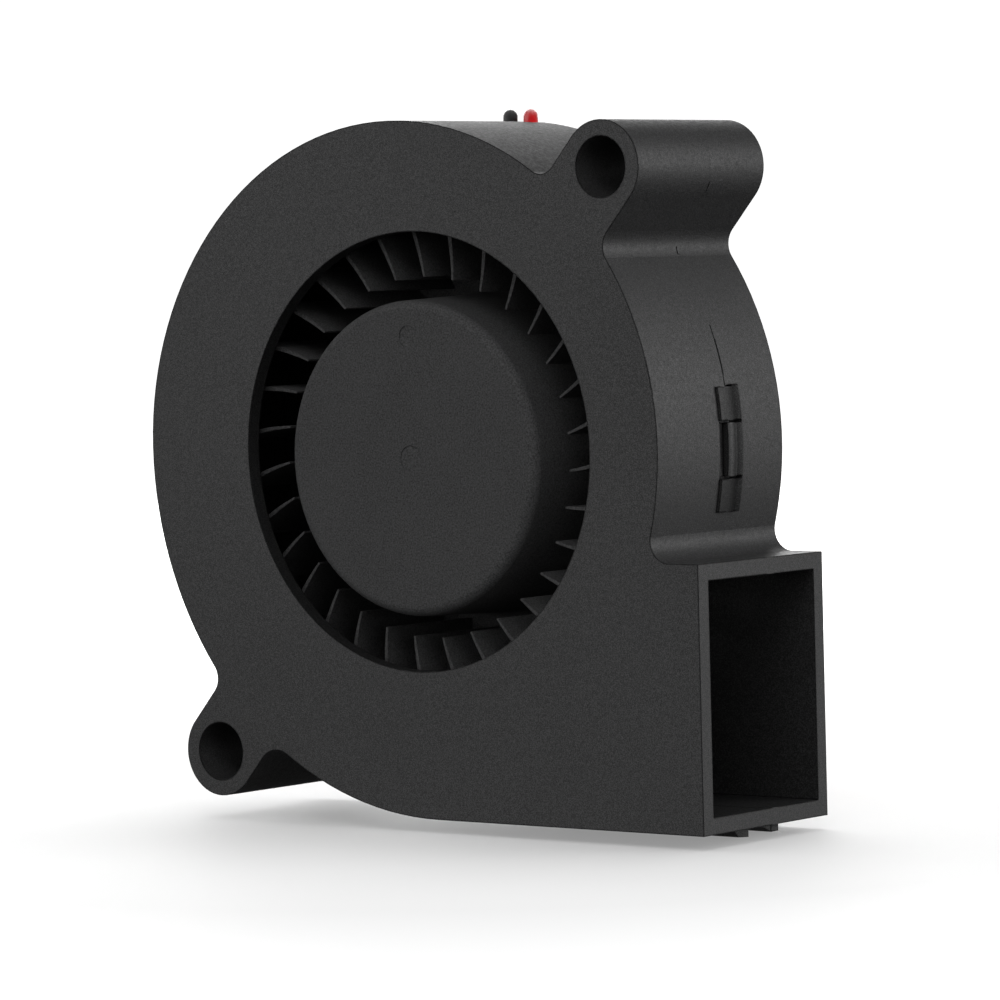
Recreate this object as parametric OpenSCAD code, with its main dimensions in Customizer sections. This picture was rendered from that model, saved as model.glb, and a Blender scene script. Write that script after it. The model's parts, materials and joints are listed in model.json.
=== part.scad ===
// Small centrifugal blower with a scroll housing, 50 mm class, 15 mm deep.
// The outlet faces +X, the inlet eye faces -Y, the fan turns about Y.

/* [Housing] */
// Depth of the housing from front face to back face
body_depth = 15; // [14.6:0.1:15.4]
// Thickness of the housing's side walls
wall = 1.2; // [1.1:0.05:1.3]
// Thickness of the front wall
front_wall = 1.2; // [1.1:0.05:1.4]
// Thickness of the rear wall
rear_wall = 1.1; // [1:0.05:1.3]
// Distance of the parting line behind the front face
parting = 8.6; // [8.4:0.1:8.8]
// Outer radius of the scroll over its top and right side
scroll_r = 23.65; // [23.4:0.05:23.9]
// Growth of the scroll radius towards its lower left
scroll_growth = 3.2; // [2.8:0.1:3.4]
// Diameter of the inlet eye
inlet_d = 31.8; // [31:0.1:32.2]
// Distance of the outlet face from the eye's axis
outlet_x = 25.09; // [24.8:0.01:25.4]
// Height of the outlet duct, outside
outlet_h = 18.93; // [18.4:0.01:19.4]

/* [Mounting lugs] */
// Diameter of the two screw holes
hole_d = 4.34; // [4:0.02:4.5]
// Outer radius of a lug
lug_r = 3.32; // [3.2:0.02:3.5]
// Horizontal distance between the screw holes
hole_dx = 36.9; // [36.6:0.1:37.2]
// Vertical distance between the screw holes
hole_dz = 42.5; // [42.2:0.1:42.8]

/* [Impeller] */
// Number of blades
blade_count = 31; // [25:1:37]
// Radius at the blades' inner tips
blade_in_r = 13.1; // [12.8:0.1:13.4]
// Radius at the blades' outer tips
blade_out_r = 17.8; // [17:0.1:18]
// Depth of the blades' front edges behind the front face
blade_front = 1.9; // [1.8:0.1:2.2]
// Angle of the first blade at its inner tip
blade_start = 7.8; // [0:0.1:11]
// Radius of the hub where its rounded edge ends
hub_r = 11.45; // [11.3:0.05:11.5]
// Radius of the hub's rounded front edge
hub_edge = 0.75; // [0.4:0.05:0.8]

/* [Motor] */
// Shaft diameter
shaft_d = 2; // [1.9:0.05:2.1]
// Outer diameter of the ball bearings
bearing_d = 5; // [4.9:0.05:5.1]
// Number of balls in a bearing
ball_count = 7; // [6:1:7]
// Thickness of the lamination stack
stack_h = 3.8; // [3.4:0.1:4]
// Outer radius of the stator's pole tips
pole_r = 7.9; // [7.7:0.05:7.95]

/* [Leads] */
// Outer diameter of a lead
lead_d = 1.1; // [1:0.05:1.1]
// Distance between the two leads where they leave the housing
lead_pitch = 1.92; // [1.8:0.02:2]

/* [Hidden] */
$fn = 96;
eps = 0.01;

// Where the origin of the working frame (eye axis on the front face) lies
origin_x = 0.18;
origin_z = 27.6;
// Centres of the scroll's two arcs
ax = -1.8;
az = 0.27;
bx = ax + scroll_growth;
scroll_r2 = scroll_r + scroll_growth;
floor_z = az - scroll_r2;
duct_top = floor_z + outlet_h;
// Screw holes
up_x = 17.45;
up_z = 20.04;
lo_x = up_x - hole_dx;
lo_z = up_z - hole_dz;
lug_len = norm([hole_dx, hole_dz]);
lug_u = [hole_dx, hole_dz] / lug_len;
lug_n = [-lug_u[1], lug_u[0]];
lug_angle = atan2(hole_dz, hole_dx);
// The axis that the impeller turns about
mx = -0.45;
mz = -0.48;
// Leads
lead_y = body_depth - 0.73;
black_x = -1.68;
red_x = black_x + lead_pitch;
exit_z = 21.8;
rest_z = -origin_z;
coil_x = 3.2;
coil_y = 29;
coil_mid_r = 6;
lead_step = lead_d + 0.05;
plug_x = coil_x + coil_mid_r + lead_step;
plug_z = rest_z + 2.2;
plug_y0 = 15.6;
plug_len = 6.6;

// ---------- frames ----------
module fan() { translate([origin_x, -body_depth / 2, origin_z]) children(); }
// extrudes a drawing in X and Z from depth y0 to depth y1
module slab(y0, y1) { translate([0, y1, 0]) rotate([90, 0, 0]) linear_extrude(y1 - y0) children(); }
// turns a drawing of radius against depth about the axis through x, z
module turned(x, z) { translate([x, 0, z]) rotate([-90, 0, 0]) rotate_extrude() children(); }
module rect(x0, z0, x1, z1) { translate([x0, z0]) square([x1 - x0, z1 - z0]); }
module block(x0, y0, z0, x1, y1, z1) { translate([x0, y0, z0]) cube([x1 - x0, y1 - y0, z1 - z0]); }
module rounded(w, h, r) {
    square([w - 2 * r, h], center = true);
    square([w, h - 2 * r], center = true);
    for (sx = [-1, 1], sy = [-1, 1]) translate([sx * (w / 2 - r), sy * (h / 2 - r)]) circle(r, $fn = 32);
}

// ---------- scroll outline ----------
// the scroll and the duct, drawn smaller by the given inset on every side but the mouth
module scroll(inset, mouth = 0) {
    intersection() {
        translate([ax, az]) circle(scroll_r - inset, $fn = 180);
        union() {
            rect(-40, az, 40, 40);
            rect(bx, -40, 40, az);
        }
    }
    intersection() {
        translate([bx, az]) circle(scroll_r2 - inset, $fn = 180);
        rect(-40, -40, bx, az);
    }
    rect(bx, floor_z + inset, outlet_x + mouth, duct_top - inset);
}

// how deep a fillet's ends sink into what they touch
sink = 0.006;
// centre of a fillet of radius f that touches a circle and a line from outside
function fillet_centre(c, r, p, u, n, f, s) =
    let (q = p + n * f - c, b = q * u) c + q + u * (s * sqrt(b * b - q * q + (r + f) * (r + f)) - b);

module fillet(c, r, p, u, n, f, s) {
    k = fillet_centre(c, r - sink, p - n * sink, u, n, f, s);
    v = (k - c) / norm(k - c);
    difference() {
        polygon([k, k - v * (f + 1.2), k - (v + n) * (f + 1.2), k - n * (f + 1.2)]);
        translate(k) circle(f, $fn = 64);
    }
}

module lug_band() {
    translate([up_x, up_z]) circle(lug_r, $fn = 96);
    translate([lo_x, lo_z]) circle(lug_r, $fn = 96);
    translate([lo_x, lo_z]) rotate(lug_angle) rect(0, sink - lug_r, lug_len, lug_r - sink);
}

module outline() {
    scroll(0);
    lug_band();
    up = [up_x, up_z];
    lo = [lo_x, lo_z];
    fillet([ax, az], scroll_r, up + lug_n * lug_r, lug_u, lug_n, 1.4, 1);
    fillet([ax, az], scroll_r, up - lug_n * lug_r, lug_u, -lug_n, 1.6, 1);
    fillet([bx, az], scroll_r2, lo + lug_n * lug_r, lug_u, lug_n, 1.45, -1);
    fillet([bx, az], scroll_r2, lo - lug_n * lug_r, lug_u, -lug_n, 1.9, -1);
    fillet([ax, az], scroll_r, [outlet_x, duct_top], [1, 0], [0, 1], 1.55, 1);
}

module screw_holes() {
    for (p = [[up_x, up_z], [lo_x, lo_z]]) translate([p[0], -1, p[1]]) rotate([-90, 0, 0]) cylinder(r = hole_d / 2, h = body_depth + 2, $fn = 64);
}

// ---------- snaps between the two shells ----------
// the snap's ends and the edges of its two slots, from bottom to top
snap_z = [-4.77, -2.44, -2.26, 1.54, 1.72, 4.08];
// share of the wall that belongs to the cover where the shells overlap
half_wall = 0.58;
// outer half of the wall, standing proud as a ridge that slopes down behind the parting line
module snap_ridge() {
    polygon([[scroll_r - half_wall - 0.02, parting - 0.4], [scroll_r - half_wall - 0.02, 9.76], [scroll_r - 0.3, 9.76], [scroll_r + 0.08, 9.36],
        [scroll_r + 0.2, 8.8], [scroll_r + 0.22, 7.43], [scroll_r - 0.3, 7.43], [scroll_r - 0.3, parting - 0.4]]);
}
// spring finger in the middle of the ridge
module snap_finger() {
    polygon([[scroll_r - half_wall - 0.02, parting - 0.4], [scroll_r - half_wall - 0.02, 9.48], [scroll_r - 0.1, 9.48], [scroll_r + 0.16, 9.3],
        [scroll_r + 0.22, 8.8], [scroll_r + 0.18, 8.17], [scroll_r - 0.4, 8.17], [scroll_r - 0.4, parting - 0.4]]);
}
module at_snap(angle) { translate([ax, 0, az]) rotate([0, -angle, 0]) translate([-ax, 0, -az]) children(); }
module snap_tab(angle) {
    at_snap(angle) {
        for (i = [0, 4]) intersection() {
            turned(ax, az) snap_ridge();
            block(ax + 10, 7, az + snap_z[i], ax + 30, 10, az + snap_z[i + 1]);
        }
        intersection() {
            turned(ax, az) snap_finger();
            block(ax + 10, 7, az + snap_z[2], ax + 30, 10, az + snap_z[3]);
        }
    }
}
// clears the finger's two slots and the hollow in front of it out of the cover's wall
module snap_slots(angle) {
    at_snap(angle) {
        for (i = [1, 3]) block(ax + scroll_r - half_wall, 7.43, az + snap_z[i], ax + scroll_r + 1, 10, az + snap_z[i + 1]);
        block(ax + scroll_r - 0.3, 7.45, az + snap_z[1] + 0.05, ax + scroll_r + 1, 8.17, az + snap_z[4] - 0.05);
    }
}
// what the case's wall gives up for the snap: a hollow whose far end slopes back to the surface
module snap_hollow(end, z0, z1) {
    intersection() {
        turned(ax, az) polygon([[scroll_r - half_wall - 0.06, parting - 0.5], [scroll_r - half_wall - 0.06, end], [scroll_r - 0.33, end], [scroll_r, 10.18],
            [scroll_r + 0.3, 10.5], [scroll_r + 1, 10.5], [scroll_r + 1, parting - 0.5]]);
        block(ax + 10, parting - 0.3, az + z0, ax + 30, 11, az + z1);
    }
}
module snap_pocket(angle) {
    at_snap(angle) {
        snap_hollow(9.82, snap_z[0] - 0.03, snap_z[1] + 0.05);
        snap_hollow(9.55, snap_z[1] - 0.05, snap_z[4] + 0.05);
        snap_hollow(9.82, snap_z[4] - 0.05, snap_z[5] + 0.12);
        for (i = [1, 3]) block(ax + scroll_r - half_wall - 0.05, parting - 0.3, az + snap_z[i], ax + scroll_r + 1, 10.16, az + snap_z[i + 1]);
    }
}
snap_angles = [0, 150];

module snap_lip(y0, y1, outer, inner) {
    difference() {
        slab(y0, y1) scroll(outer, -0.8);
        slab(y0 - 1, y1 + 1) scroll(inner, 1);
    }
}

// places where the two shells don't quite close
module parting_gaps() {
    at_snap(15.6) {
        intersection() {
            turned(ax, az) rect(scroll_r - 0.5, parting - 0.3, scroll_r + 0.5, parting + 0.1);
            block(ax + 10, 7, az - 2.24, ax + 30, 10, az + 2.24);
        }
        intersection() {
            turned(ax, az) rect(scroll_r - 0.5, parting - 0.3, scroll_r + 0.5, parting + 0.17);
            block(ax + 10, 7, az - 1.5, ax + 30, 10, az + 1.2);
        }
    }
    translate([17.6, 0, 14.09]) rotate([0, -35.5, 0]) block(-0.5, parting - 0.3, -0.28, 0.6, parting + 0.12, 0.28);
    translate([20.44, 0, 18.49]) rotate([0, 27.4, 0]) block(-0.45, parting - 0.3, -0.4, 0.6, parting + 0.12, 0.4);
}

// ---------- housing ----------
module front_cover() {
    color("#2b2b2d") fan() {
        difference() {
            union() {
                slab(0, parting) outline();
                for (a = snap_angles) snap_tab(a);
                // thick root of the lower snap, deeper at its rear
                translate([16.7, 0, 0]) rotate([90, 0, 90]) linear_extrude(6.03) polygon([[6.35, floor_z + 0.3], [6.35, floor_z - 0.03], [7.3, floor_z - 0.92], [8.55, floor_z - 1.02], [8.55, floor_z - 0.5], [10.05, floor_z - 0.46],
                    [11.25, floor_z - 0.94], [11.25, floor_z - 0.05], [8.55, floor_z - 0.05], [8.55, floor_z + 0.3]]);
            }
            slab(front_wall, parting + 3) scroll(wall, 1);
            slab(parting - 0.93, parting + 3) scroll(half_wall, -0.75);
            translate([0, -1, 0]) rotate([-90, 0, 0]) cylinder(r = inlet_d / 2, h = 4, $fn = 180);
            screw_holes();
            for (a = snap_angles) snap_slots(a);
        }
    }
}

module rear_case() {
    color("#28282a") fan() difference() {
        union() {
            difference() {
                union() {
                    slab(parting, body_depth) outline();
                    snap_lip(parting - 0.9, parting + 0.2, half_wall + 0.05, wall);
                }
                slab(parting - 0.5, body_depth - rear_wall) scroll(wall, 1);
            }
            // hook of the lower snap
            block(16.7, 11.33, floor_z - 0.95, 22.73, 12.2, floor_z + 0.3);
            // boss, rim and floor that the motor stands on
            turned(mx, mz) {
                rect(2, 12.3, 5.5, body_depth - rear_wall + 0.2);
                rect(3, 11.3, 4.25, 12.5);
                rect(9, 12.3, 9.8, body_depth - rear_wall + 0.2);
            }
            // thicker floor under the lead channel
            block(black_x - 1.2, 13.1, 9.3, red_x + 1.2, body_depth - rear_wall + 0.2, 22.7);
        }
        // blind seat of the bearing tube
        translate([mx, 0, mz]) rotate([-90, 0, 0]) {
            translate([0, 0, 11]) cylinder(r = 3.27, h = 2, $fn = 96);
            translate([0, 0, 12]) cylinder(r = 2.45, h = 1.6, $fn = 64);
        }
        // lead channel in the back, and the slot into the motor
        block(black_x - 0.62, body_depth - 1.3, 9.5, red_x + 0.62, body_depth + 1, 40);
        block(black_x - 0.7, 12.2, 7, red_x + 0.7, body_depth + 1, 10.4);
        // room at the channel's top for the leads to lean out
        block(black_x - 1.4, body_depth - 1.3, exit_z + 0.4, black_x, body_depth + 1, 40);
        // seat of the label
        translate([mx, body_depth - 0.15, mz]) rotate([-90, 0, 0]) cylinder(r = 10.6, h = 1, $fn = 128);
        screw_holes();
        for (a = snap_angles) snap_pocket(a);
        parting_gaps();
    }
    // ribs that hold the leads in their channel
    color("#28282a") fan() for (z = [14, 19.5], s = [0, 1])
        block(s ? red_x + 0.5 : black_x - 0.72, body_depth - 0.25, z, s ? red_x + 0.72 : black_x - 0.5, body_depth, z + 1.4);
}

// ---------- impeller ----------
function blade_theta(s) = 0.85 * s + 0.048 * s * s;
function blade_half(s) = min(0.085 + 0.03 * s, 0.165);
blade_n = 6;
module blade() {
    span = blade_out_r - blade_in_r;
    pts = [for (i = [0:blade_n]) let (s = span * i / blade_n, r = blade_in_r + s, a = blade_theta(s) + blade_half(s) / r * 180 / PI) [r * cos(a), r * sin(a)]];
    qts = [for (i = [blade_n:-1:0]) let (s = span * i / blade_n, r = blade_in_r + s, a = blade_theta(s) - blade_half(s) / r * 180 / PI) [r * cos(a), r * sin(a)]];
    polygon(concat(pts, qts));
}

module hub_profile() {
    union() {
        polygon(concat([[0, 1.05], [0, 0.1]],
            [for (i = [0:12]) [hub_r - hub_edge + hub_edge * sin(i * 7.5), 0.1 + hub_edge - hub_edge * cos(i * 7.5)]],
            // sweep from the hub into the back disc
            [for (i = [0:10]) [hub_r + 0.35 + 1.8 * (1 - cos(i * 9)), 10 + 1.8 * sin(i * 9)]],
            [[blade_out_r + 0.1, 11.8], [blade_out_r + 0.1, 12.6], [10.35, 12.6], [10.35, 1.05]]));
    }
}

module impeller() {
    color("#303032") fan() difference() {
        union() {
            turned(mx, mz) hub_profile();
            translate([mx, 0, mz]) slab(blade_front, 11.9) for (i = [0:blade_count - 1]) rotate(blade_start + i * 360 / blade_count) blade();
        }
        // shallow moulding marks on the hub's face
        translate([mx, 0, mz]) rotate([-90, 0, 0]) cylinder(r = 0.95, h = 0.16, $fn = 48);
        translate([mx, 0, mz + 8.8]) rotate([-90, 0, 0]) cylinder(r = 0.82, h = 0.16, $fn = 48);
    }
}

// ---------- rotor inside the hub ----------
module rotor_yoke() {
    color("#8d9096") fan() turned(mx, mz) {
        rect(1.02, 1.07, 9.6, 1.65);
        difference() {
            rect(9.5, 1.07, 10.3, 9.6);
            rect(9.4, 1.65, 9.72, 10);
            difference() {
                rect(9.7, 1, 10.4, 1.67);
                translate([9.7, 1.67]) circle(0.6, $fn = 48);
            }
        }
    }
}

module ring_magnet() {
    color("#3a3733") fan() turned(mx, mz) difference() {
        rect(8.2, 3.2, 9.7, 9.6);
        translate([8.2, 3.2]) rotate(45) square(0.3, center = true);
        translate([8.2, 9.6]) rotate(45) square(0.3, center = true);
    }
}

module hub_bush() {
    color("#c9a85c") fan() turned(mx, mz) {
        rect(shaft_d / 2 + 0.01, 1.66, 2.3, 2.2);
        rect(shaft_d / 2 + 0.01, 2.1, 1.7, 2.6);
    }
}

module shaft() {
    color("#c8cbd0") fan() turned(mx, mz) difference() {
        polygon([[0, 1.07], [shaft_d / 2, 1.07], [shaft_d / 2, 12.55], [shaft_d / 2 - 0.2, 12.75], [0, 12.75]]);
        rect(shaft_d / 2 - 0.15, 11.94, 2, 12.21);
    }
}

// round wire wound about Y
function coil_point(a, r, y0, pitch) = [r * cos(a), y0 + pitch * a / 360, r * sin(a)];
module preload_spring() {
    color("#b9bcc1") fan() translate([mx, 0, mz]) {
        r = 1.42; w = 0.14; pitch = 0.44; turns = 3; n = 14;
        y0 = 2.77;
        rings = turns * n;
        pts = [for (i = [0:rings]) let (a = 360 * i / n, c = coil_point(a, r, y0, pitch))
            for (j = [0:5]) let (b = j * 60, d = w * cos(b), e = w * sin(b)) [c[0] + d * cos(a), c[1] + e, c[2] + d * sin(a)]];
        faces = concat([[for (j = [0:5]) j]], [[for (j = [5:-1:0]) rings * 6 + j]],
            [for (i = [0:rings - 1], j = [0:5]) let (k = (j + 1) % 6, p = i * 6, q = p + 6) [p + j, q + j, q + k, p + k]]);
        polyhedron(pts, faces);
    }
}

module thrust_washer() {
    color("#e8e4d8") fan() turned(mx, mz) rect(shaft_d / 2 + 0.03, 11.68, 2.1, 11.9);
}

module retaining_clip() {
    color("#9a9da3") fan() translate([mx, 12.2, mz]) rotate([90, 0, 0]) linear_extrude(0.25) difference() {
        circle(1.9, $fn = 64);
        circle(shaft_d / 2 - 0.14, $fn = 48);
        rect(-0.55, -3, 0.55, 0);
        for (s = [-1, 1]) translate([s * 1.25, 0.35]) circle(0.22, $fn = 24);
    }
}

// ---------- bearings ----------
front_y = 4.25;
rear_y = 9.35;
race_w = 2.3;
ball_r = 0.42;
ball_pitch_r = 1.75;
module outer_ring(y) {
    fan() turned(mx, mz) difference() {
        rect(2.05, y, bearing_d / 2 - 0.01, y + race_w);
        translate([ball_pitch_r, y + race_w / 2]) circle(ball_r + 0.03, $fn = 48);
        for (k = [y - 0.1, y + race_w - 0.12]) rect(2, k, 2.16, k + 0.22);
    }
}
module inner_ring(y) {
    fan() turned(mx, mz) difference() {
        rect(shaft_d / 2 + 0.005, y, 1.45, y + race_w);
        translate([ball_pitch_r, y + race_w / 2]) circle(ball_r + 0.03, $fn = 48);
    }
}
module balls(y) {
    fan() translate([mx, y + race_w / 2, mz]) for (i = [0:ball_count - 1]) rotate([0, i * 360 / ball_count, 0]) translate([ball_pitch_r, 0, 0]) sphere(ball_r, $fn = 24);
}
module cage(y) {
    fan() difference() {
        turned(mx, mz) rect(1.56, y + 0.45, 1.94, y + race_w - 0.45);
        translate([mx, y + race_w / 2, mz]) for (i = [0:ball_count - 1]) rotate([0, i * 360 / ball_count + 90, 0]) translate([0, 0, 1]) cylinder(r = ball_r + 0.03, h = 1.5, $fn = 32);
    }
}
module shields(y) {
    fan() turned(mx, mz) for (k = [y + 0.01, y + race_w - 0.11]) rect(1.52, k, 2.15, k + 0.1);
}
module front_bearing_outer_ring() { color("#b4b8be") outer_ring(front_y); }
module front_bearing_inner_ring() { color("#b4b8be") inner_ring(front_y); }
module front_bearing_balls() { color("#dfe2e6") balls(front_y); }
module front_bearing_cage() { color("#a98f5a") cage(front_y); }
module front_bearing_shields() { color("#c3c6cb") shields(front_y); }
module rear_bearing_outer_ring() { color("#b4b8be") outer_ring(rear_y); }
module rear_bearing_inner_ring() { color("#b4b8be") inner_ring(rear_y); }
module rear_bearing_balls() { color("#dfe2e6") balls(rear_y); }
module rear_bearing_cage() { color("#a98f5a") cage(rear_y); }
module rear_bearing_shields() { color("#c3c6cb") shields(rear_y); }

module bearing_tube() {
    color("#c9a85c") fan() turned(mx, mz) difference() {
        rect(2.15, 4, 3.25, 12.98);
        rect(2, 3.9, bearing_d / 2 + 0.01, 6.6);
        rect(2, 9.3, bearing_d / 2 + 0.01, 13);
    }
}

// ---------- stator ----------
stack_y = 4.9;
module poles(width, tip_in, tip_out, spread, ring) {
    difference() {
        circle(ring, $fn = 96);
        circle(3.27, $fn = 96);
    }
    for (i = [0:3]) rotate(45 + i * 90) {
        rect(ring - 0.3, -width / 2, tip_in + 0.3, width / 2);
        intersection() {
            difference() {
                circle(tip_out, $fn = 128);
                circle(tip_in, $fn = 128);
            }
            polygon([[0, 0], [20 * cos(spread), -20 * sin(spread)], [20 * cos(spread), 20 * sin(spread)]]);
        }
    }
}
module stator_core() {
    color("#6f7277") fan() translate([mx, 0, mz]) slab(stack_y, stack_y + stack_h) poles(2, 6.95, pole_r, 37, 4.6);
}
module insulator(y0, y1, f0, f1) {
    fan() translate([mx, 0, mz]) {
        slab(y0, y1) poles(2.3, 6.95, 7.6, 30, 4.65);
        slab(f0, f1) for (i = [0:3]) rotate(45 + i * 90) intersection() {
            difference() {
                circle(7.6, $fn = 128);
                circle(6.95, $fn = 128);
            }
            polygon([[0, 0], [20 * cos(24), -20 * sin(24)], [20 * cos(24), 20 * sin(24)]]);
        }
        slab(f0, f1) difference() {
            circle(4.65, $fn = 96);
            circle(3.27, $fn = 96);
        }
    }
}
module front_insulator() { color("#e9e5da") insulator(stack_y - 0.45, stack_y, 4.05, stack_y - 0.4); }
module rear_insulator() {
    color("#e9e5da") difference() {
        insulator(stack_y + stack_h, stack_y + stack_h + 0.45, stack_y + stack_h + 0.4, 9.6);
        fan() translate([mx, 0, mz]) for (i = [0:3]) rotate([0, -(i * 90 + 45), 0]) translate([7.28, 8, 0]) rotate([-90, 0, 0]) cylinder(r = 0.3, h = 3, $fn = 24);
    }
}
module stator_windings() {
    color("#b5651d") fan() translate([mx, 0, mz]) for (i = [0:3]) rotate([0, -(45 + i * 90), 0])
        translate([4.72, stack_y + stack_h / 2, 0]) rotate([90, 0, 90]) linear_extrude(1.8) difference() {
            rounded(stack_h + 2.2, 4.2, 0.7);
            square([stack_h + 0.94, 2.36], center = true);
        }
}
module winding_pins() {
    color("#d8d2b8") fan() translate([mx, 0, mz]) for (i = [0:3]) rotate([0, -(i * 90 + 45), 0]) translate([7.28, 8.75, 0]) rotate([-90, 0, 0]) {
        cylinder(r = 0.28, h = 3.9, $fn = 24);
        translate([0, 0, 3.9]) cylinder(r1 = 0.28, r2 = 0.16, h = 0.15, $fn = 24);
    }
}

// ---------- board ----------
board_y = 11.3;
module driver_board() {
    color("#2f6a3f") fan() difference() {
        translate([mx, 0, mz]) slab(board_y, board_y + 1) difference() {
            circle(9.55, $fn = 128);
            circle(4.35, $fn = 96);
            for (i = [0:3]) rotate(i * 90 + 45) translate([7.28, 0]) circle(0.4, $fn = 24);
        }
        for (x = [black_x, red_x]) translate([x, 11, 7.9]) rotate([-90, 0, 0]) cylinder(r = 0.35, h = 2, $fn = 24);
    }
}
module driver_chip() {
    color("#1d1d1f") fan() {
        difference() {
            block(mx - 2, board_y - 1.2, mz - 8.3, mx + 2, board_y - 0.15, mz - 5.3);
            translate([mx - 1.4, board_y - 1.25, mz - 5.9]) rotate([-90, 0, 0]) cylinder(r = 0.25, h = 0.12, $fn = 24);
        }
        for (i = [-1.5, -0.5, 0.5, 1.5], s = [[-5.3, -4.8], [-8.8, -8.3]])
            block(mx + i - 0.2, board_y - 0.62, mz + s[0] - eps, mx + i + 0.2, board_y, mz + s[1] + eps);
    }
}
module board_capacitor() {
    color("#b79b74") fan() {
        block(mx + 5.2, board_y - 0.9, mz - 0.62, mx + 6.6, board_y, mz + 0.62);
        for (x = [4.9, 6.6]) block(mx + x, board_y - 0.93, mz - 0.65, mx + x + 0.3, board_y, mz + 0.65);
    }
}
module board_resistors() {
    color("#26262a") fan() for (x = [-7.2, 5.6]) {
        block(mx + x + 0.3, board_y + 1, mz - 0.4, mx + x + 1.3, board_y + 1.45, mz + 0.4);
        for (k = [0, 1.3]) block(mx + x + k, board_y + 1, mz - 0.42, mx + x + k + 0.3, board_y + 1.47, mz + 0.42);
    }
}
module solder_joints() {
    color("#c5c8cc") fan() {
        translate([mx, 0, mz]) for (i = [0:3]) rotate([0, -(i * 90 + 45), 0]) translate([7.28, board_y + 1, 0]) rotate([-90, 0, 0]) difference() {
            cylinder(r1 = 0.75, r2 = 0.35, h = 0.4, $fn = 32);
            translate([0, 0, -1]) cylinder(r = 0.28, h = 3, $fn = 24);
        }
        for (x = [black_x, red_x]) translate([x, board_y + 1, 7.9]) rotate([-90, 0, 0]) {
            cylinder(r1 = 0.8, r2 = 0.5, h = 0.55, $fn = 32);
            translate([0, 0, -1.2]) cylinder(r = 0.34, h = 1.3, $fn = 24);
        }
    }
}
module rear_label() {
    color("#3b3b3d") fan() translate([mx, body_depth - 0.14, mz]) rotate([-90, 0, 0]) cylinder(r = 10.5, h = 0.14, $fn = 128);
}

// ---------- leads held by the housing ----------
bend_r = 1.37;
// straight from the board, one bend, straight up the channel
function inner_route(x) = concat([[x, board_y + 1.55, 7.9]], [for (a = [0:22.5:90]) [x, lead_y - bend_r * (1 - sin(a)), 7.9 + bend_r * (1 - cos(a))]], [[x, lead_y, 16], [x, lead_y, exit_z]]);

// ---------- free leads ----------
// a tube with eight sides through a row of points; lean turns its rings towards the plane of the leads' arch
function unit(v) = v / norm(v);
module tube(path, r, lean = 0) {
    n = len(path);
    tang = [for (i = [0:n - 1]) unit(path[min(i + 1, n - 1)] - path[max(i - 1, 0)])];
    pts = [for (i = [0:n - 1]) let (ref = [1, 0.02 + lean * min(max(path[i][2] / 22, 0), 1), 0.03], u = unit(cross(tang[i], ref)), v = cross(tang[i], u)) for (j = [0:7]) path[i] + r * (cos(j * 45) * u + sin(j * 45) * v)];
    faces = concat([[for (j = [7:-1:0]) j]], [[for (j = [0:7]) (n - 1) * 8 + j]],
        [for (i = [0:n - 2], j = [0:7], h = [0, 1]) let (k = (j + 1) % 8, p = i * 8, q = p + 8) h ? [p + j, q + k, q + j] : [p + j, p + k, q + k]]);
    polyhedron(pts, faces);
}
// out of the open top of the channel in one arch, down behind the case and onto the coil
black_route = [[-1.68, 14.27, 21.8], [-1.68, 14.27, 22.1], [-1.86, 14.5, 23.2], [-2.36, 15.13, 24], [-3.04, 16, 24.3], [-3.73, 16.86, 24],
    [-4.23, 17.49, 23.2], [-4.41, 17.72, 22.1], [-4.4, 17.85, 20], [-4.3, 18.3, 15], [-4.1, 18.8, 9], [-4, 19.1, 2],
    [-3.95, 19.15, -6], [-3.95, 19.15, -13], [-3.95, 19.15, -18], [-3.95, 19.1, -21.5], [-3.95, 19.1, -24.3], [-3.95, 19.4, -25.6],
    [-3.95, 20.3, -26.6], [-3.95, 21.6, -27], [-3.95, 23.5, -27], [-3.95, 26, -27]];
red_route = [[0.24, 14.27, 21.8], [0.24, 14.27, 22.1], [0.06, 14.5, 23.2], [-0.44, 15.13, 24], [-1.12, 16, 24.3], [-1.81, 16.86, 24],
    [-2.31, 17.49, 23.2], [-2.49, 17.72, 22.1], [-2.55, 18, 20], [-2.75, 18.8, 15], [-3.1, 19.7, 9], [-3.45, 20.4, 2],
    [-3.75, 20.75, -5], [-3.95, 20.75, -12], [-3.95, 20.75, -19], [-3.95, 20.8, -22.1], [-3.95, 21.15, -23.4],
    [-3.95, 22.05, -24.3], [-3.95, 23.3, -24.7], [-3.95, 24.6, -24.7], [-3.95, 26, -24.7]];
black_tail = [[10.35, 28.6, -25.9], [10.35, 27.2, -25.9], [10.25, 25.8, -25.9], [9.95, 24.5, -25.88], [9.55, 23.3, -25.65], [9.36, 22.2, -25.42], [9.35, 20.4, -25.4]];
red_tail = [[10.35, 28.6, -23.55], [10.42, 27.4, -23.65], [10.7, 26.1, -24.1], [11.1, 24.7, -24.85], [11.33, 23.4, -25.32], [11.35, 22.2, -25.4], [11.35, 20.4, -25.4]];
module black_lead_inner() { color("#161616") fan() tube(inner_route(black_x), lead_d / 2); }
module red_lead_inner() { color("#c8201c") fan() tube(inner_route(red_x), lead_d / 2); }
module black_lead() { color("#161616") fan() tube(black_route, lead_d / 2, 0.77); }
module red_lead() { color("#c8201c") fan() tube(red_route, lead_d / 2, 0.77); }
module black_lead_tail() { color("#161616") fan() tube(black_tail, lead_d / 2); }
module red_lead_tail() { color("#c8201c") fan() tube(red_tail, lead_d / 2); }
module lead_coil(z0) {
    fan() translate([coil_x, coil_y, z0]) rotate_extrude() translate([coil_mid_r, lead_step]) rounded(3 * lead_step, 2 * lead_step - 0.02, 0.4);
}
module black_lead_coil() { color("#161616") lead_coil(rest_z); }
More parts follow.
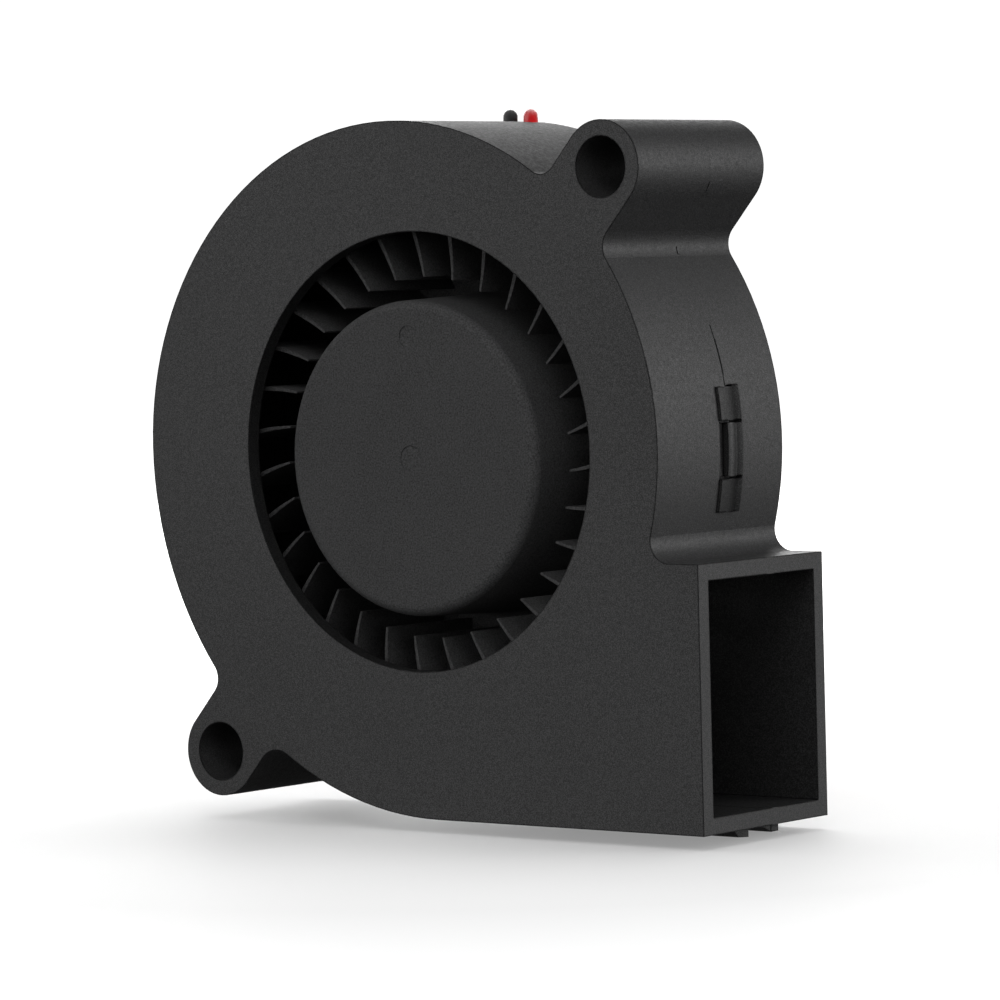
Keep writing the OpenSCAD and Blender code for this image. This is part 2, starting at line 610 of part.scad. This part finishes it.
module red_lead_coil() { color("#c8201c") lead_coil(rest_z + 2 * lead_step); }

// ---------- plug ----------
module connector_housing() {
    color("#ece8dc") fan() difference() {
        union() {
            block(plug_x - 2.9, plug_y0, rest_z, plug_x + 2.9, plug_y0 + plug_len, rest_z + 4.4);
            for (x = [-2.9, 2.3]) block(plug_x + x, plug_y0 + 1, rest_z + 4.3, plug_x + x + 0.6, plug_y0 + plug_len, rest_z + 4.8);
        }
        for (s = [-1, 1]) {
            block(plug_x + s - 0.75, plug_y0 - 1, plug_z - 0.8, plug_x + s + 0.75, plug_y0 + plug_len - 1.6, plug_z + 0.8);
            translate([plug_x + s, plug_y0 + plug_len - 2, plug_z]) rotate([-90, 0, 0]) cylinder(r = 0.62, h = 3, $fn = 32);
            block(plug_x + s - 0.45, plug_y0 + 2.2, plug_z + 0.5, plug_x + s + 0.45, plug_y0 + 4.2, rest_z + 5);
        }
    }
}
module crimp_terminals() {
    color("#d0cdbd") fan() for (s = [-1, 1]) {
        difference() {
            block(plug_x + s - 0.7, plug_y0 + 0.3, plug_z - 0.75, plug_x + s + 0.7, plug_y0 + 3.4, plug_z + 0.75);
            block(plug_x + s - 0.52, plug_y0 - 1, plug_z - 0.57, plug_x + s + 0.52, plug_y0 + 3, plug_z + 0.57);
        }
        translate([plug_x + s, plug_y0 + 3.39, plug_z]) rotate([-90, 0, 0]) cylinder(r = 0.5, h = 1.4, $fn = 32);
    }
}

front_cover();
rear_case();
impeller();
rotor_yoke();
ring_magnet();
hub_bush();
shaft();
preload_spring();
thrust_washer();
retaining_clip();
bearing_tube();
front_bearing_outer_ring();
front_bearing_inner_ring();
front_bearing_balls();
front_bearing_cage();
front_bearing_shields();
rear_bearing_outer_ring();
rear_bearing_inner_ring();
rear_bearing_balls();
rear_bearing_cage();
rear_bearing_shields();
stator_core();
front_insulator();
rear_insulator();
stator_windings();
winding_pins();
driver_board();
driver_chip();
board_capacitor();
board_resistors();
solder_joints();
rear_label();
black_lead_inner();
red_lead_inner();
black_lead();
red_lead();
black_lead_coil();
red_lead_coil();
black_lead_tail();
red_lead_tail();
connector_housing();
crimp_terminals();
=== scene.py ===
import bpy
import bmesh
import json
import math
from mathutils import Matrix, Vector


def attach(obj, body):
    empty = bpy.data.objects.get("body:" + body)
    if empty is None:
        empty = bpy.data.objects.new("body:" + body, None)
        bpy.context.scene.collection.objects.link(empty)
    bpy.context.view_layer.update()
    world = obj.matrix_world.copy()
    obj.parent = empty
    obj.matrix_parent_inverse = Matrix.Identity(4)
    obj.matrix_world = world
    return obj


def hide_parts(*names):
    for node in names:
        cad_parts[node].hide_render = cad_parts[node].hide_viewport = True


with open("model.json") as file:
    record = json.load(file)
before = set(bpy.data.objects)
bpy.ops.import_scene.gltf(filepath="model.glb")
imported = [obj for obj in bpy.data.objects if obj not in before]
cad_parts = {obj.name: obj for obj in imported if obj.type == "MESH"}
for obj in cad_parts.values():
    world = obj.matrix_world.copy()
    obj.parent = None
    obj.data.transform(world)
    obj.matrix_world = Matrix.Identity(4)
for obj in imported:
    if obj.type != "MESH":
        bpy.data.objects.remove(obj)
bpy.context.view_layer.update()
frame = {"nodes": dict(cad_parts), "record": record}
nodes = frame["nodes"]


scene = bpy.context.scene

# The working frame of the drawing has its origin on the inlet's axis at the front face, in mm.
ORIGIN = (0.18, -7.5, 27.6)


def at(x, y, z):
    return Vector(((x + ORIGIN[0]) / 1000, (y + ORIGIN[1]) / 1000, (z + ORIGIN[2]) / 1000))


# ------------------------------------------------------------------ camera
AZ, EL, ROLL = math.radians(38.503151), math.radians(2.801450), math.radians(-1.433844)
back = Vector((math.sin(AZ) * math.cos(EL), -math.cos(AZ) * math.cos(EL), math.sin(EL)))
right = Vector((math.cos(AZ), math.sin(AZ), 0))
up = back.cross(right)
cam_x = right * math.cos(ROLL) + up * math.sin(ROLL)
cam_y = up * math.cos(ROLL) - right * math.sin(ROLL)
camera_data = bpy.data.cameras.new("camera")
camera_data.sensor_width = 36
camera_data.lens = 183.42
camera_data.clip_start = 0.01
camera_data.clip_end = 20
camera = bpy.data.objects.new("camera", camera_data)
scene.collection.objects.link(camera)
rotation = Matrix((cam_x, cam_y, back)).transposed().to_4x4()
camera.matrix_world = Matrix.Translation(at(233.37055, -283.58227, 14.36274)) @ rotation
scene.camera = camera
scene.view_settings.view_transform = "Standard"
scene.view_settings.look = "None"


# ------------------------------------------------------------------ material kit
class Nodes:
    """Short helpers to wire one material."""

    def __init__(self, name):
        self.material = bpy.data.materials.new(name)
        self.material.use_nodes = True
        self.tree = self.material.node_tree
        self.tree.nodes.clear()
        self.out = self.tree.nodes.new("ShaderNodeOutputMaterial")
        self.shader = self.tree.nodes.new("ShaderNodeBsdfPrincipled")
        self.tree.links.new(self.shader.outputs["BSDF"], self.out.inputs["Surface"])
        self.coord = self.tree.nodes.new("ShaderNodeTexCoord")

    def link(self, a, b):
        self.tree.links.new(a, b)

    def mapped(self, scale, rotation=(0, 0, 0)):
        m = self.tree.nodes.new("ShaderNodeMapping")
        m.inputs["Scale"].default_value = scale
        m.inputs["Rotation"].default_value = rotation
        self.link(self.coord.outputs["Object"], m.inputs["Vector"])
        return m.outputs["Vector"]

    def noise(self, scale, detail=2.0, roughness=0.5, vector=None):
        n = self.tree.nodes.new("ShaderNodeTexNoise")
        n.inputs["Scale"].default_value = scale
        n.inputs["Detail"].default_value = detail
        n.inputs["Roughness"].default_value = roughness
        self.link(vector or self.coord.outputs["Object"], n.inputs["Vector"])
        return n.outputs["Fac"]

    def voronoi(self, scale, vector=None, feature="F1"):
        n = self.tree.nodes.new("ShaderNodeTexVoronoi")
        n.feature = feature
        n.inputs["Scale"].default_value = scale
        self.link(vector or self.coord.outputs["Object"], n.inputs["Vector"])
        return n.outputs["Distance"]

    def span(self, value, low, high, start=0.3, end=0.7):
        m = self.tree.nodes.new("ShaderNodeMapRange")
        m.inputs["From Min"].default_value = start
        m.inputs["From Max"].default_value = end
        m.inputs["To Min"].default_value = low
        m.inputs["To Max"].default_value = high
        self.link(value, m.inputs["Value"])
        return m.outputs["Result"]

    def math(self, op, a, b):
        m = self.tree.nodes.new("ShaderNodeMath")
        m.operation = op
        for i, v in enumerate((a, b)):
            if isinstance(v, (int, float)):
                m.inputs[i].default_value = v
            else:
                self.link(v, m.inputs[i])
        return m.outputs[0]

    def ramp(self, value, *stops):
        r = self.tree.nodes.new("ShaderNodeValToRGB")
        for i, (p, c) in enumerate(stops):
            e = r.color_ramp.elements[i] if i < 2 else r.color_ramp.elements.new(p)
            e.position = p
            e.color = (*c, 1)
        self.link(value, r.inputs["Fac"])
        return r.outputs["Color"]

    def edge(self, radius, seam=None):
        """Rounds sharp edges by this many metres, for shading only. The two shells stay flush along the depth named by seam."""
        b = self.tree.nodes.new("ShaderNodeBevel")
        b.samples = 6
        b.inputs["Radius"].default_value = radius
        if seam is not None:
            self.link(self.off_seam(radius, seam), b.inputs["Radius"])
        self.edge_normal = b.outputs["Normal"]

    def off_seam(self, radius, seam):
        """The radius, falling to nothing at the depth where the two shells meet."""
        split = self.tree.nodes.new("ShaderNodeSeparateXYZ")
        self.link(self.coord.outputs["Object"], split.inputs[0])
        away = self.math("ABSOLUTE", self.math("SUBTRACT", split.outputs["Y"], seam), 0.0)
        return self.span(away, 0.0, radius, 0.00022, 0.00045)

    def painted_snap_shade(self):
        """Painted shade: 1 everywhere, lower in bands across the side snap's ridges and finger, darkest towards their
        rear ends.
        """
        split = self.tree.nodes.new("ShaderNodeSeparateXYZ")
        self.link(self.coord.outputs["Object"], split.inputs[0])
        depth = self.span(split.outputs["Y"], 0.0, 1.0, -0.0001, 0.0029)
        ridge = self.ramp(depth, (0.0, (0.8,) * 3), (1.0, (1.0,) * 3), (0.3, (0.66,) * 3), (0.5, (0.4,) * 3), (0.62, (0.28,) * 3), (0.8, (0.62,) * 3))
        finger = self.ramp(depth, (0.0, (1.0,) * 3), (1.0, (1.0,) * 3), (0.27, (0.55,) * 3), (0.39, (1.0,) * 3), (0.53, (0.45,) * 3), (0.66, (0.85,) * 3), (0.8, (0.5,) * 3))
        off = self.math("ABSOLUTE", self.math("SUBTRACT", split.outputs["Z"], 0.02751), 0.0)
        middle = self.span(off, 1.0, 0.0, 0.00194, 0.00202)
        both = self.span(off, 1.0, 0.0, 0.00434, 0.00446)
        side = self.span(split.outputs["X"], 0.0, 1.0, 0.0205, 0.0208)
        along = self.math("MULTIPLY", both, self.math("MULTIPLY", side, self.span(split.outputs["Y"], 0.0, 1.0, -0.00009, -0.00005)))
        shade = self.math("ADD", self.math("MULTIPLY", finger, middle), self.math("MULTIPLY", ridge, self.math("SUBTRACT", 1.0, middle)))
        return self.math("ADD", self.math("MULTIPLY", shade, along), self.math("SUBTRACT", 1.0, along))

    def painted_inner_shade(self):
        """Painted shade: 1 outside, lower on the inner walls of the outlet duct and on the inlet's bore, darkening
        these recesses.
        """
        split = self.tree.nodes.new("ShaderNodeSeparateXYZ")
        self.link(self.coord.outputs["Object"], split.inputs[0])
        duct = None
        for axis, a, b in (("X", 0.001, 0.02522), ("Y", -0.0068, 0.0068), ("Z", 0.0017, 0.0193)):
            off = self.math("ABSOLUTE", self.math("SUBTRACT", split.outputs[axis], (a + b) / 2), 0.0)
            inside = self.span(off, 1.0, 0.0, (b - a) / 2 - 0.00003, (b - a) / 2)
            duct = inside if duct is None else self.math("MULTIPLY", duct, inside)
        x = self.math("SUBTRACT", split.outputs["X"], ORIGIN[0] / 1000)
        z = self.math("SUBTRACT", split.outputs["Z"], ORIGIN[2] / 1000)
        r = self.math("SQRT", self.math("ADD", self.math("MULTIPLY", x, x), self.math("MULTIPLY", z, z)), 0.0)
        bore = self.math("MULTIPLY", self.span(r, 1.0, 0.0, 0.0161, 0.0162), self.span(split.outputs["Y"], 0.0, 1.0, -0.00746, -0.00742))
        bore = self.math("MULTIPLY", bore, self.span(split.outputs["Y"], 1.0, 0.0, -0.0061, -0.006))
        return self.math("MULTIPLY", self.span(duct, 1.0, 0.65, 0.0, 1.0), self.span(bore, 1.0, 0.55, 0.0, 1.0))

    def near_edge(self, radius, seam=None):
        """1 on flat ground, falling to 0 right at a sharp edge."""
        b = self.tree.nodes.new("ShaderNodeBevel")
        b.samples = 6
        b.inputs["Radius"].default_value = radius
        if seam is not None:
            self.link(self.off_seam(radius, seam), b.inputs["Radius"])
        g = self.tree.nodes.new("ShaderNodeNewGeometry")
        d = self.tree.nodes.new("ShaderNodeVectorMath")
        d.operation = "DOT_PRODUCT"
        self.link(b.outputs["Normal"], d.inputs[0])
        self.link(g.outputs["Normal"], d.inputs[1])
        return self.span(d.outputs["Value"], 0.0, 1.0, 0.84, 0.995)

    def darken(self, colour, mask, factor):
        """The colour, multiplied by factor where the mask is 0."""
        m = self.tree.nodes.new("ShaderNodeMix")
        m.data_type = "RGBA"
        m.blend_type = "MULTIPLY"
        m.inputs[0].default_value = 1.0
        self.link(colour, m.inputs[6])
        self.link(self.span(mask, factor, 1.0, 0.0, 1.0), m.inputs[7])
        return m.outputs[2]

    def bump(self, *layers):
        """layers are (height, distance in metres, strength); the first is applied first."""
        normal = getattr(self, "edge_normal", None)
        for height, distance, strength in layers:
            b = self.tree.nodes.new("ShaderNodeBump")
            b.inputs["Distance"].default_value = distance
            b.inputs["Strength"].default_value = strength
            self.link(height, b.inputs["Height"])
            if normal is not None:
                self.link(normal, b.inputs["Normal"])
            normal = b.outputs["Normal"]
        self.link(normal, self.shader.inputs["Normal"])

    def colour(self, value):
        self.link(value, self.shader.inputs["Base Color"])

    def rough(self, value):
        self.link(value, self.shader.inputs["Roughness"])

    def set(self, **sockets):
        for k, v in sockets.items():
            self.shader.inputs[k.replace("_", " ")].default_value = v
        return self


def shade(c, k):
    return tuple(v * k for v in c)


def plastic(name, colour, rough=0.45, grain=7000, depth=0.000012, strength=0.3, speckle=0.25, blotch=0.12, coat=0.0, edge=0.0):
    m = Nodes(name)
    if edge:
        m.edge(edge)
    fine = m.noise(grain, 3, 0.6)
    wide = m.noise(160, 3, 0.55)
    mixed = m.math("ADD", m.math("MULTIPLY", fine, 1 - blotch), m.math("MULTIPLY", wide, blotch))
    m.colour(m.ramp(mixed, (0.3, shade(colour, 1 - speckle)), (0.7, shade(colour, 1 + speckle))))
    m.rough(m.span(m.noise(grain * 0.6, 2), rough - 0.06, rough + 0.08))
    m.bump((m.noise(90, 2), 0.00002, 0.15), (fine, depth, strength))
    if coat:
        m.set(Coat_Weight=coat, Coat_Roughness=0.25)
    return m.material


def metal(name, colour, rough=0.3, grain=3000, stretch=(1, 1, 1), depth=0.000006, strength=0.2, vary=0.12):
    m = Nodes(name)
    v = m.mapped(stretch)
    fine = m.noise(grain, 3, 0.6, v)
    m.colour(m.ramp(m.noise(grain * 0.1, 4, 0.6, v), (0.25, shade(colour, 1 - vary)), (0.75, shade(colour, 1 + vary * 0.6))))
    m.rough(m.span(fine, rough - 0.08, rough + 0.1))
    m.bump((fine, depth, strength))
    m.set(Metallic=1.0)
    return m.material


# ------------------------------------------------------------------ materials
def housing_material():
    """Black plastic with a fine spark-eroded grain, and painted shade along its sharp edges, on the side snap and in
    the outlet duct and inlet bore.
    """
    m = Nodes("housing_plastic")
    m.edge(0.0001, seam=0.0011)
    grain = m.noise(13500, 1, 0.6)
    fine = m.noise(17000, 1, 0.5)
    wide = m.noise(45, 3, 0.5)
    mixed = m.math("ADD", m.math("MULTIPLY", grain, 0.9), m.math("MULTIPLY", wide, 0.1))
    base = m.ramp(mixed, (0.36, (0.011, 0.011, 0.0112)), (0.5, (0.0265, 0.0265, 0.027)), (0.64, (0.06, 0.06, 0.061)))
    # painted shade: a thin dark line right at sharp edges, in the colour and in the specular level
    painted_edge_shade = m.near_edge(0.0002, seam=0.0011)
    # painted shade on the side snap and in the outlet duct and inlet bore, multiplied into the colour
    painted_shade = m.math("MULTIPLY", m.painted_snap_shade(), m.painted_inner_shade())
    m.colour(m.darken(m.darken(base, painted_edge_shade, 0.12), painted_shade, 0.0))
    m.rough(m.span(m.noise(3600, 2), 0.46, 0.64))
    m.bump((m.noise(60, 2), 0.00003, 0.1), (grain, 0.00002, 0.35), (fine, 0.00001, 0.3))
    # the painted shade at edges, on the snap and in the duct and bore also lowers the specular level
    m.link(m.math("MULTIPLY", m.span(painted_edge_shade, 0.04, 0.42, 0.0, 1.0), painted_shade), m.shader.inputs["Specular IOR Level"])
    return m.material


MATERIALS = {
    "housing_plastic": housing_material(),
    "impeller_plastic": plastic("impeller_plastic", (0.0435, 0.0435, 0.0442), 0.82, 8500, 0.000012, 0.35, 0.75, 0.08, edge=0.00006),
    "yoke_steel": metal("yoke_steel", (0.56, 0.57, 0.6), 0.32, 2600, (1, 6, 1)),
    "magnet": plastic("magnet", (0.05, 0.047, 0.044), 0.55, 4200, 0.000014, 0.35, 0.25, 0.2),
    "brass": metal("brass", (0.76, 0.58, 0.28), 0.28, 3200, (1, 8, 1)),
    "bearing_steel": metal("bearing_steel", (0.72, 0.73, 0.75), 0.16, 4200, (1, 8, 1), 0.000003),
    "cage_metal": metal("cage_metal", (0.66, 0.52, 0.3), 0.34),
    "spring_steel": metal("spring_steel", (0.58, 0.59, 0.61), 0.27, 3600),
    "washer_plastic": plastic("washer_plastic", (0.8, 0.77, 0.7), 0.4, 3800, 0.000008, 0.2, 0.05),
    "lamination_steel": metal("lamination_steel", (0.4, 0.41, 0.43), 0.42, 2200, (1, 30, 1), 0.00003, 0.6, 0.2),
    "insulator_plastic": plastic("insulator_plastic", (0.84, 0.8, 0.7), 0.42, 3600, 0.000008, 0.2, 0.06),
    "pin_metal": metal("pin_metal", (0.76, 0.72, 0.62), 0.25),
    "board_laminate": plastic("board_laminate", (0.03, 0.17, 0.07), 0.35, 2600, 0.000008, 0.25, 0.18, coat=0.5),
    "chip_epoxy": plastic("chip_epoxy", (0.03, 0.03, 0.031), 0.5, 5200, 0.00001, 0.3, 0.2),
    "capacitor_ceramic": plastic("capacitor_ceramic", (0.48, 0.36, 0.22), 0.35, 4200, 0.000006, 0.2, 0.12),
    "resistor_film": plastic("resistor_film", (0.035, 0.035, 0.045), 0.25, 4200, 0.000005, 0.15, 0.15),
    "solder": metal("solder", (0.66, 0.67, 0.68), 0.22, 1800, (1, 1, 1), 0.00001, 0.3),
    "label_film": plastic("label_film", (0.05, 0.05, 0.052), 0.36, 3000, 0.000004, 0.15, 0.08, coat=0.2),
    "black_insulation": plastic("black_insulation", (0.01, 0.01, 0.0105), 0.6, 2600, 0.000006, 0.15, 0.1),
    "red_insulation": plastic("red_insulation", (0.66, 0.012, 0.016), 0.34, 2600, 0.000006, 0.15, 0.06, coat=0.15),
    "plug_plastic": plastic("plug_plastic", (0.82, 0.79, 0.71), 0.36, 3200, 0.000006, 0.2, 0.04, coat=0.1, edge=0.00012),
    "terminal_metal": metal("terminal_metal", (0.74, 0.7, 0.6), 0.24),
}


def copper():
    """Enamelled wire wound in fine parallel turns."""
    m = Nodes("copper_winding")
    wave = m.tree.nodes.new("ShaderNodeTexWave")
    wave.inputs["Scale"].default_value = 1600
    wave.inputs["Distortion"].default_value = 0.6
    wave.inputs["Detail"].default_value = 1
    wave.wave_type = "RINGS"
    wave.rings_direction = "Y"
    m.link(m.coord.outputs["Object"], wave.inputs["Vector"])
    # painted shade: darker in the grooves between the turns and lighter on their crests, following the same rings as
    # the bump
    m.colour(m.ramp(wave.outputs["Fac"], (0.1, (0.2, 0.06, 0.015)), (0.8, (0.72, 0.3, 0.1))))
    m.rough(m.span(m.noise(2200, 2), 0.22, 0.36))
    m.bump((wave.outputs["Fac"], 0.00006, 0.8))
    m.set(Metallic=0.75, Coat_Weight=0.5, Coat_Roughness=0.15)
    return m.material


MATERIALS["copper_winding"] = copper()

slot_of = {s["node"]: s["material_slot"] for s in frame["record"]["subparts"]}
for name, obj in nodes.items():
    obj.data.materials.clear()
    obj.data.materials.append(MATERIALS[slot_of[name]])
    obj.data.polygons.foreach_set("material_index", [0] * len(obj.data.polygons))


# ------------------------------------------------------------------ leads
def curve(name, points, radius, material, body="housing"):
    data = bpy.data.curves.new(name, "CURVE")
    data.dimensions = "3D"
    data.resolution_u = 5
    data.bevel_depth = radius / 1000
    data.bevel_resolution = 5
    data.use_fill_caps = True
    spline = data.splines.new("BEZIER")
    spline.bezier_points.add(len(points) - 1)
    for b, p in zip(spline.bezier_points, points):
        b.co = at(*p)
        b.handle_left_type = b.handle_right_type = "AUTO"
    obj = bpy.data.objects.new(name, data)
    scene.collection.objects.link(obj)
    data.materials.append(MATERIALS[material])
    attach(obj, body)
    return obj


LEAD_R = 0.55
COIL = (3.2, 29.0)
REST = -27.6


def smooth(t):
    t = min(max(t, 0.0), 1.0)
    return t * t * (3 - 2 * t)


def coil_points(base, per_turn=16):
    """Three turns inwards in the lower layer, then outwards in the upper one, clockwise from the left side to the right side."""
    pts = []
    steps = int(5.5 * per_turn)
    for i in range(steps + 1):
        t = i / per_turn
        r = 7.15 - 1.15 * smooth((t - 0.8) / 0.2) - 1.15 * smooth((t - 1.8) / 0.2)
        r += 1.15 * smooth((t - 3.55) / 0.2) + 1.15 * smooth((t - 4.55) / 0.2)
        z = base + 0.6 + 1.15 * smooth((t - 2.78) / 0.22)
        a = math.pi - 2 * math.pi * t
        pts.append((COIL[0] + r * math.cos(a), COIL[1] + r * math.sin(a), z))
    return pts


BLACK_ROUTE = [(-1.68, 14.27, 21.8), (-1.68, 14.27, 22.1), (-1.86, 14.5, 23.2), (-2.36, 15.13, 24), (-3.04, 16, 24.3), (-3.73, 16.86, 24),
    (-4.23, 17.49, 23.2), (-4.41, 17.72, 22.1), (-4.4, 17.85, 20), (-4.3, 18.3, 15), (-4.1, 18.8, 9), (-4, 19.1, 2),
    (-3.95, 19.15, -6), (-3.95, 19.15, -13), (-3.95, 19.15, -18), (-3.95, 19.1, -21.5), (-3.95, 19.1, -24.3), (-3.95, 19.4, -25.6),
    (-3.95, 20.3, -26.6), (-3.95, 21.6, -27), (-3.95, 23.5, -27), (-3.95, 26, -27)]
RED_ROUTE = [(0.24, 14.27, 21.8), (0.24, 14.27, 22.1), (0.06, 14.5, 23.2), (-0.44, 15.13, 24), (-1.12, 16, 24.3), (-1.81, 16.86, 24),
    (-2.31, 17.49, 23.2), (-2.49, 17.72, 22.1), (-2.55, 18, 20), (-2.75, 18.8, 15), (-3.1, 19.7, 9), (-3.45, 20.4, 2),
    (-3.75, 20.75, -5), (-3.95, 20.75, -12), (-3.95, 20.75, -19), (-3.95, 20.8, -22.1), (-3.95, 21.15, -23.4),
    (-3.95, 22.05, -24.3), (-3.95, 23.3, -24.7), (-3.95, 24.6, -24.7), (-3.95, 26, -24.7)]
BLACK_TAIL = [(10.35, 28.6, -25.85), (10.35, 27.2, -25.88), (10.25, 25.8, -25.9), (9.95, 24.5, -25.88), (9.55, 23.3, -25.65), (9.36, 22.2, -25.42), (9.35, 20.45, -25.4)]
RED_TAIL = [(10.35, 28.6, -23.55), (10.42, 27.4, -23.65), (10.7, 26.1, -24.1), (11.1, 24.7, -24.85), (11.33, 23.4, -25.32), (11.35, 22.2, -25.4), (11.35, 20.45, -25.4)]


def lead(name, route, tail, base, material, x):
    points = route + coil_points(base) + tail[1:]
    obj = curve(name + "_wire", points, LEAD_R, material)
    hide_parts(name, name + "_coil", name + "_tail")
    # the stretch that the housing holds in its channel
    bend = 1.37
    inner = [(x, 12.85, 7.9)] + [(x, 14.27 - bend * (1 - math.sin(a)), 7.9 + bend * (1 - math.cos(a))) for a in (math.radians(k) for k in range(0, 91, 18))]
    inner += [(x, 14.27, 12), (x, 14.27, 16), (x, 14.27, 20), (x, 14.27, 21.8)]
    held = curve(name + "_held_wire", inner, LEAD_R, material)
    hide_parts(name + "_inner")
    return obj


black_lead = lead("black_lead", BLACK_ROUTE, BLACK_TAIL, REST, "black_insulation", -1.68)
red_lead = lead("red_lead", RED_ROUTE, RED_TAIL, REST + 2.3, "red_insulation", 0.24)

# ------------------------------------------------------------------ floor
def floor_material():
    m = Nodes("floor")
    m.colour(m.ramp(m.noise(6, 2), (0.3, (0.46, 0.46, 0.46)), (0.7, (0.48, 0.48, 0.48))))
    m.rough(m.span(m.noise(40, 2), 0.7, 0.8))
    away = m.tree.nodes.new("ShaderNodeVectorMath")
    away.operation = "LENGTH"
    m.link(m.coord.outputs["Object"], away.inputs[0])
    m.set(Specular_IOR_Level=0.1, Emission_Color=(1, 1, 1, 1))
    # the floor glows, weakly near the object and more strongly further out: painted light that keeps the far floor
    # white
    m.link(m.span(away.outputs["Value"], 0.27, 1.1, 0.05, 0.22), m.shader.inputs["Emission Strength"])
    return m.material


floor_mesh = bpy.data.meshes.new("floor")
floor_mesh.from_pydata([(-3, -3, 0), (3, -3, 0), (3, 3, 0), (-3, 3, 0)], [], [(0, 1, 2, 3)])
floor = bpy.data.objects.new("floor", floor_mesh)
scene.collection.objects.link(floor)
floor_mesh.materials.append(floor_material())
floor.visible_diffuse = False
floor.visible_glossy = False

# ------------------------------------------------------------------ light
world = bpy.data.worlds.new("studio")
scene.world = world
world.use_nodes = True
wt = world.node_tree
wt.nodes.clear()
w_out = wt.nodes.new("ShaderNodeOutputWorld")
w_mix = wt.nodes.new("ShaderNodeMixShader")
w_path = wt.nodes.new("ShaderNodeLightPath")
w_seen = wt.nodes.new("ShaderNodeBackground")
w_seen.inputs["Color"].default_value = (1, 1, 1, 1)
w_seen.inputs["Strength"].default_value = 1.1
w_light = wt.nodes.new("ShaderNodeBackground")
w_coord = wt.nodes.new("ShaderNodeTexCoord")
w_split = wt.nodes.new("ShaderNodeSeparateXYZ")
w_ramp = wt.nodes.new("ShaderNodeValToRGB")
w_map = wt.nodes.new("ShaderNodeMapRange")
wt.links.new(w_coord.outputs["Generated"], w_split.inputs[0])
wt.links.new(w_split.outputs["Z"], w_map.inputs["Value"])
w_map.inputs["From Min"].default_value = -1
w_map.inputs["From Max"].default_value = 1
wt.links.new(w_map.outputs["Result"], w_ramp.inputs["Fac"])
e = w_ramp.color_ramp.elements
e[0].position, e[0].color = 0.0, (0.05, 0.05, 0.05, 1)
e[1].position, e[1].color = 1.0, (0.02, 0.02, 0.02, 1)
for place, value in ((0.44, 0.05), (0.53, 0.6), (0.6, 0.42), (0.72, 0.1)):
    stop = e.new(place)
    stop.color = (value, value, value, 1)
wt.links.new(w_ramp.outputs["Color"], w_light.inputs["Color"])
w_light.inputs["Strength"].default_value = 1.0
wt.links.new(w_path.outputs["Is Camera Ray"], w_mix.inputs[0])
wt.links.new(w_light.outputs[0], w_mix.inputs[1])
wt.links.new(w_seen.outputs[0], w_mix.inputs[2])
wt.links.new(w_mix.outputs[0], w_out.inputs["Surface"])


def area(name, location, target, size, power, size_y=None):
    data = bpy.data.lights.new(name, "AREA")
    data.energy = power
    data.size = size
    if size_y:
        data.shape = "RECTANGLE"
        data.size_y = size_y
    obj = bpy.data.objects.new(name, data)
    scene.collection.objects.link(obj)
    obj.visible_camera = False
    obj.location = location
    obj.rotation_euler = (Vector(target) - Vector(location)).to_track_quat("-Z", "Y").to_euler()
    return obj


CENTRE = Vector((0, 0, 0.027))


def softbox(name, direction, distance, size, power, size_y=None):
    return area(name, CENTRE + Vector(direction).normalized() * distance, CENTRE, size, power, size_y)


def around(azimuth, elevation):
    """Direction as seen from the object: 0 degrees is its front, 90 its outlet side."""
    a, e = math.radians(azimuth), math.radians(elevation)
    return (math.sin(a) * math.cos(e), -math.cos(a) * math.cos(e), math.sin(e))


softbox("right_back", around(122, 12), 0.5, 0.3, 1.2)
softbox("front_left", around(-38, 2), 0.5, 0.3, 0.28)
softbox("front", around(0, 0), 0.5, 0.3, 0.24)
softbox("back_low", around(-141, 4), 0.5, 0.25, 0.9)
softbox("right", around(80, 6), 0.5, 0.3, 0.14)
softbox("right_front", around(62, 14), 0.5, 0.3, 0.1)
softbox("top_front", around(32, 42), 0.5, 0.3, 0.76)
softbox("left_front", around(-45, 30), 0.5, 0.3, 0.14)
softbox("left", around(-90, 45), 0.5, 0.3, 0.26)
softbox("back_left", around(-145, 36), 0.5, 0.3, 0.37)
softbox("left_edge", around(-97, 6), 0.5, 0.25, 0.5)
behind = softbox("floor_back", around(-150, 77), 0.6, 0.4, 3.4)
lit = bpy.data.collections.new("floor_only")
lit.objects.link(floor)
behind.light_linking.receiver_collection = lit
